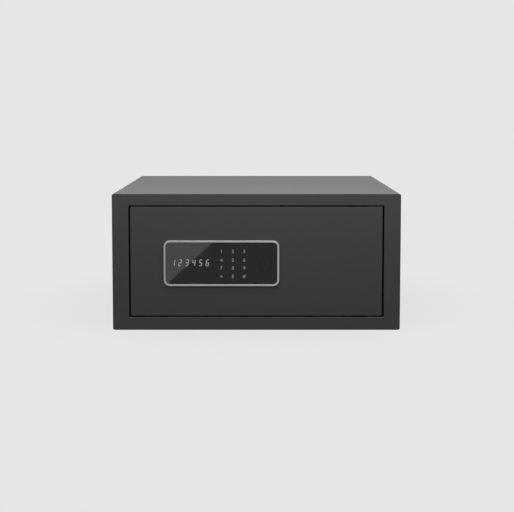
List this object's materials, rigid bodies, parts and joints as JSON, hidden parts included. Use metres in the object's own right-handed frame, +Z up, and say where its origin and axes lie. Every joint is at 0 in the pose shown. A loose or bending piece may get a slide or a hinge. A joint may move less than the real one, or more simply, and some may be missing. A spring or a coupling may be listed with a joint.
{
  "type": "electronic laptop safe",
  "caption": "Low, wide electronic safe with a flush steel door, touch keypad, digital display and motor-driven bolts.",
  "frame": {"origin": "on the surface that the safe stands on, under the middle of the whole object, keypad trim included", "axes": "+X to the right seen from the front, +Y to the rear wall, +Z up"},
  "size_m": [0.42, 0.3722, 0.2],
  "materials": {
    "powder_coat": "fine-texture dark grey powder coat",
    "lining_coat": "matt black powder coat",
    "zinc_steel": "zinc-plated steel",
    "satin_chrome": "satin chrome",
    "black_acrylic": "polished black acrylic",
    "black_plastic": "fine matt moulded plastic",
    "black_rubber": "matt rubber",
    "grey_felt": "needled felt",
    "green_board": "solder-masked glass-fibre board",
    "brass": "turned brass",
    "white_nylon": "natural acetal",
    "cell_wrap": "plain shrink wrap",
    "red_plastic": "moulded red plastic",
    "spring_steel": "bright spring wire"
  },
  "bodies": {
    "cabinet": {"cabinet_shell": "powder_coat", "back_panel": "powder_coat", "jamb_frame": "lining_coat", "strike_plate": "zinc_steel", "hinge_block_upper": "zinc_steel", "hinge_block_lower": "zinc_steel", "hinge_bush_upper": "black_plastic", "hinge_bush_lower": "black_plastic", "door_spring": "spring_steel", "door_bumper_upper": "black_rubber", "door_bumper_lower": "black_rubber", "floor_mat": "grey_felt", "base_anchor_plug_left": "black_rubber", "base_anchor_plug_right": "black_rubber", "rear_anchor_plug_left": "black_rubber", "rear_anchor_plug_right": "black_rubber"},
    "door": {"door_plate": "powder_coat", "door_pan": "lining_coat", "inner_cover": "lining_coat", "cover_screw_1": "zinc_steel", "cover_screw_2": "zinc_steel", "cover_screw_3": "zinc_steel", "cover_screw_4": "zinc_steel", "hinge_pin_upper": "zinc_steel", "hinge_pin_lower": "zinc_steel", "keypad_trim": "satin_chrome", "keypad_fascia": "black_acrylic", "keypad_housing": "black_plastic", "keypad_board": "green_board", "display_module": "black_plastic", "buzzer": "black_plastic", "keypad_ribbon": "black_plastic", "override_lock_body": "satin_chrome", "override_lock_nut": "zinc_steel", "lock_chassis": "zinc_steel", "carriage_guide_left": "zinc_steel", "carriage_guide_right": "zinc_steel", "bolt_guide_upper": "white_nylon", "bolt_guide_lower": "white_nylon", "motor": "zinc_steel", "motor_bracket": "zinc_steel", "limit_switch": "black_plastic", "control_board": "green_board", "battery_holder": "black_plastic", "battery_cell_1": "cell_wrap", "battery_cell_2": "cell_wrap", "battery_cell_3": "cell_wrap", "battery_cell_4": "cell_wrap", "battery_lead": "black_rubber"},
    "bolt_work": {"bolt_carriage": "zinc_steel", "lock_bolt_upper": "satin_chrome", "lock_bolt_lower": "satin_chrome"},
    "gear": {"drive_gear": "white_nylon"},
    "pinion": {"motor_pinion": "brass"},
    "key_plug": {"override_plug": "brass"},
    "key_cover": {"override_cover": "black_acrylic"},
    "cell_lid": {"battery_lid": "black_plastic"},
    "reset": {"reset_button": "red_plastic"}
  },
  "joints": [
    {"name": "door_swing", "type": "hinge", "parent": "cabinet", "child": "door", "pos_m": [0.1675, -0.1754, 0.101], "axis": [0, 0, 1], "range_deg": [0, 105], "deforming": ["door_spring"]},
    {"name": "bolt_throw", "type": "slide", "parent": "door", "child": "bolt_work", "axis": [-1, 0, 0], "range_m": [0, 0.02]},
    {"name": "drive_gear_spin", "type": "hinge", "parent": "door", "child": "gear", "pos_m": [-0.062, -0.1659, 0.084], "axis": [0, -1, 0], "range_deg": [0, 127.33]},
    {"name": "motor_pinion_spin", "type": "hinge", "parent": "door", "child": "pinion", "pos_m": [-0.0396, -0.1639, 0.084], "axis": [0, 1, 0], "range_deg": [0, 381.98]},
    {"name": "override_turn", "type": "hinge", "parent": "door", "child": "key_plug", "pos_m": [0.0132, -0.1739, 0.09665], "axis": [0, 1, 0], "range_deg": [0, 90]},
    {"name": "override_cover_pull", "type": "slide", "parent": "door", "child": "key_cover", "axis": [0, -1, 0], "range_m": [0, 0.02]},
    {"name": "battery_lid_off", "type": "slide", "parent": "door", "child": "cell_lid", "axis": [0, 1, 0], "range_m": [0, 0.015]},
    {"name": "reset_press", "type": "slide", "parent": "door", "child": "reset", "axis": [0, -1, 0], "range_m": [0, 0.0015], "stiffness_N_per_m": 300}
  ],
  "couplings": [
    {"joint": "drive_gear_spin", "follows": "bolt_throw", "rad_per_m": 111.11},
    {"joint": "motor_pinion_spin", "follows": "bolt_throw", "rad_per_m": 333.33}
  ]
}
